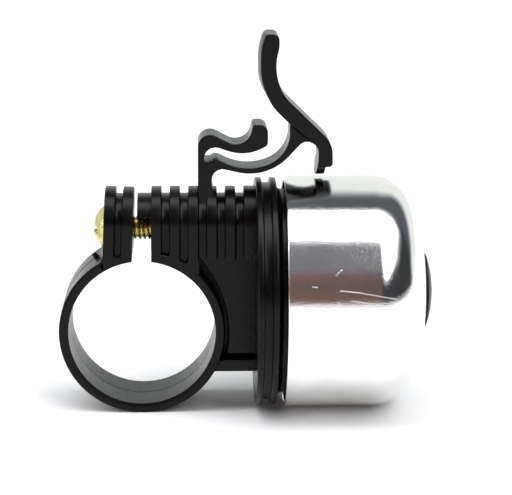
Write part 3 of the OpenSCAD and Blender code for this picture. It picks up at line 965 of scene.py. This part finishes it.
def moulded(name, finish):
    material, shader, start, place = newMaterial(name)
    light, grain = finish["light"], finish["grain"]
    cloud = noise(start, place, 260, 3)
    speck = noise(start, place, 5200, 2)
    lines = noise(start, stretch(start, place, finish["streaks"]), 1000, 3, 0.6)
    colour = blendColours(ease(cloud, 0.35, 0.7), finish["dark"], light)
    bright = tuple(c * 1.5 for c in light)
    plugIn(shader, Base_Color=blendColours(ease(lines, 0.55, 0.8) * 0.6, colour, bright))
    plugIn(shader, Roughness=finish["rough"] + 0.16 * (cloud - 0.5) + 0.14 * (lines - 0.5))
    plugIn(shader, Normal=bump(start, lines, grain, bump(start, speck, grain * 0.35)))
    plugIn(shader, Specular_IOR_Level=finish["shine"])
    return material


scratches = [  # x, z, x, z, width and strength, on the side towards the camera
    (28.31, 11.54, 29.04, 12.21, 0.09, 0.9),
    (24.97, 10.05, 25.55, 9.97, 0.08, 0.8),
    (29.01, 9.47, 31.76, 9.18, 0.055, 0.9),
    (31.76, 9.18, 35.08, 8.6, 0.045, 0.7),
    (35.08, 8.6, 37.11, 8.17, 0.045, 0.6),
    (30.6, 8.05, 33.5, 7.61, 0.05, 0.6),
    (28.58, 7.78, 30.32, 6.9, 0.04, 0.5),
]


def scratchMask(start, x, y, z):
    total = None
    for x1, z1, x2, z2, width, strength in scratches:
        length = math.hypot(x2 - x1, z2 - z1)
        ax, az = (x2 - x1) / length, (z2 - z1) / length
        along = (x - x1) * ax + (z - z1) * az
        across = start.maths("ABSOLUTE", (x - x1) * az - (z - z1) * ax)
        beyond = start.maths("ABSOLUTE", along - length / 2) - length / 2
        line = (1 - ease(across, width * 0.4, width)) * (1 - ease(beyond, 0.0, 0.25)) * strength
        total = line if total is None else start.maths("MAXIMUM", total, line)
    return total * (1 - ease(y, -6.0, -3.0))


def satinAluminium():
    material, shader, start, place = newMaterial("satinAluminium")
    parts = start.node("ShaderNodeSeparateXYZ", {0: place})
    x, y, z = (Link(parts.tree, parts.socket.node.outputs[i]) * 1000 for i in range(3))
    sand = noise(start, place, 5600, 1)
    cloud = noise(start, place, 240, 3)
    smudge = noise(start, stretch(start, place, (1, 1, 2.2)), 90, 4, 0.6)
    marks = scratchMask(start, x, y, z)
    colour = blendColours(ease(cloud, 0.3, 0.75), domeFinish["dull"], domeFinish["bright"])
    plugIn(shader, Base_Color=blendColours(marks * 0.65, colour, domeFinish["scratchColour"]))
    plugIn(shader, Metallic=1.0)
    rough = domeFinish["rough"] + 0.04 * ease(smudge, 0.45, 0.75) + 0.2 * marks
    dents = bump(start, marks, domeFinish["scratchDepth"])
    plugIn(shader, Roughness=rough, Normal=bump(start, sand, domeFinish["sandDepth"], dents))
    return material


def zincPlate(name, finish):
    material, shader, start, place = newMaterial(name)
    patch = noise(start, place, 420, 3)
    fine = noise(start, place, 3600, 3)
    plugIn(shader, Base_Color=blendColours(ease(patch, 0.42, 0.66), finish["pale"], finish["warm"]))
    plugIn(shader, Metallic=1.0)
    plugIn(shader, Roughness=finish["rough"] + 0.15 * (fine - 0.5))
    plugIn(shader, Normal=bump(start, fine, 0.01))
    return material


def dress(piece, material):
    piece.data.materials.clear()
    piece.data.materials.append(material)


def dressAll():
    nylon = moulded("blackNylon", nylonFinish)
    for piece in (clampMoulding, backPlate, strikerPost, strikerLever):
        dress(piece, nylon)
    dress(domeCap, moulded("blackCap", capFinish))
    dress(bellDome, satinAluminium())
    dress(clampScrew, zincPlate("yellowZinc", yellowFinish))
    steel = zincPlate("whiteZinc", whiteFinish)
    dress(clampNut, steel)
    for name in ("dome_washer", "dome_screw"):
        for slot in bpy.data.objects[name].material_slots:
            slot.material = steel


dressAll()
print("materials made")


# floor, light and camera

studio = {
    "target": (17.338, 0, 11.883),
    "camera": (7.422, -274.628, 77.133),
    "roll": 0.289,
    "lens": 130.08,
    "floorGlow": 0.02,
    "floorLow": (0.9, 0.9, 0.9),
    "floorHigh": (0.92, 0.92, 0.92),
}

room = {  # the colours that come from each side, from the floor up and over the top
    "floor": (1.0, 1.0, 1.0),
    "wood": (0.3, 0.155, 0.11),
    "woodShade": (0.13, 0.1, 0.095),
    "corner": (0.05, 0.055, 0.06),
    "wall": (0.2, 0.2, 0.22),
    "softbox": (4.2, 4.2, 4.28),
    "ceiling": (0.1, 0.107, 0.125),
    "backdrop": (0.9, 0.945, 0.92),
    "doorway": (0.045, 0.045, 0.05),
}


def makeFloor():
    bpy.ops.object.select_all(action="DESELECT")
    bpy.ops.mesh.primitive_plane_add(size=6, location=(0, 0, cadLow.z))
    floor = bpy.context.active_object
    floor.name = "floor"
    bpy.ops.object.transform_apply()
    material, shader, start, place = newMaterial("paleFloor")
    cloud = noise(start, place, 12, 3)
    plugIn(shader, Base_Color=blendColours(cloud, studio["floorLow"], studio["floorHigh"]))
    glow = studio["floorGlow"]
    plugIn(shader, Roughness=0.9, Emission_Color=(1, 1, 1, 1), Emission_Strength=glow)
    dress(floor, material)


def makeRoom():  # what the bell's polish mirrors, by the direction it comes from
    world = bpy.data.worlds.new("room")
    bpy.context.scene.world = world
    world.use_nodes = True
    tree = world.node_tree
    start = Link(tree)
    away = start.node("ShaderNodeTexCoord", output="Generated")
    parts = start.node("ShaderNodeSeparateXYZ", {0: away})
    x, y, z = (Link(tree, parts.socket.node.outputs[i]) for i in range(3))
    angle = start.maths("ARCTAN2", z, 0 - y) * (180 / math.pi)  # from the camera's side over the top
    lowEdge = 67 - 40 * ease(x, 0.14, 0.26) + 26 * ease(x, 0.35, 0.85)
    highEdge = 117 + 24 * ease(x, 0.2, 0.7)
    patches = ease(noise(start, stretch(start, away, (1.5, 1, 1)), 9, 3), 0.4, 0.6)
    wood = blendColours(patches, room["woodShade"], room["wood"])
    low = blendColours(ease(x, 0.13, 0.16), wood, room["corner"])
    colour = blendColours(ease(angle, -5, 0), room["floor"], low)
    colour = blendColours(ease(angle, 29, 34), colour, room["wall"])
    colour = blendColours(ease(angle - lowEdge, -8, 8), colour, room["softbox"])
    colour = blendColours(ease(angle, 94, 101), colour, room["ceiling"])
    colour = blendColours(ease(angle - highEdge, 0, 18), colour, room["backdrop"])
    outline = ease(x, 0.5, 0.85) * ease(0 - y, -0.3, -0.15)
    colour = blendColours(outline, colour, room["doorway"])
    colour = blendColours(ease(0 - z, 0.0, 0.03), colour, room["floor"])
    tree.links.new(colour.socket, tree.nodes["Background"].inputs["Color"])


def makeCamera():
    place, target = Vector(studio["camera"]), Vector(studio["target"])
    back = (place - target).normalized()
    right = Vector((0, 0, 1)).cross(back).normalized()
    bpy.ops.object.camera_add()
    camera = bpy.context.active_object
    look = Matrix((right, back.cross(right), back)).transposed().to_4x4()
    roll = Matrix.Rotation(math.radians(studio["roll"]), 4, "Z")
    camera.matrix_world = Matrix.Translation(place * mm) @ look @ roll
    camera.data.lens, camera.data.sensor_width = studio["lens"], 36
    camera.data.clip_start = 0.01
    bpy.context.scene.camera = camera


makeFloor()
makeRoom()
makeCamera()
bpy.context.scene.view_settings.view_transform = "Standard"
print("floor, light and camera made")
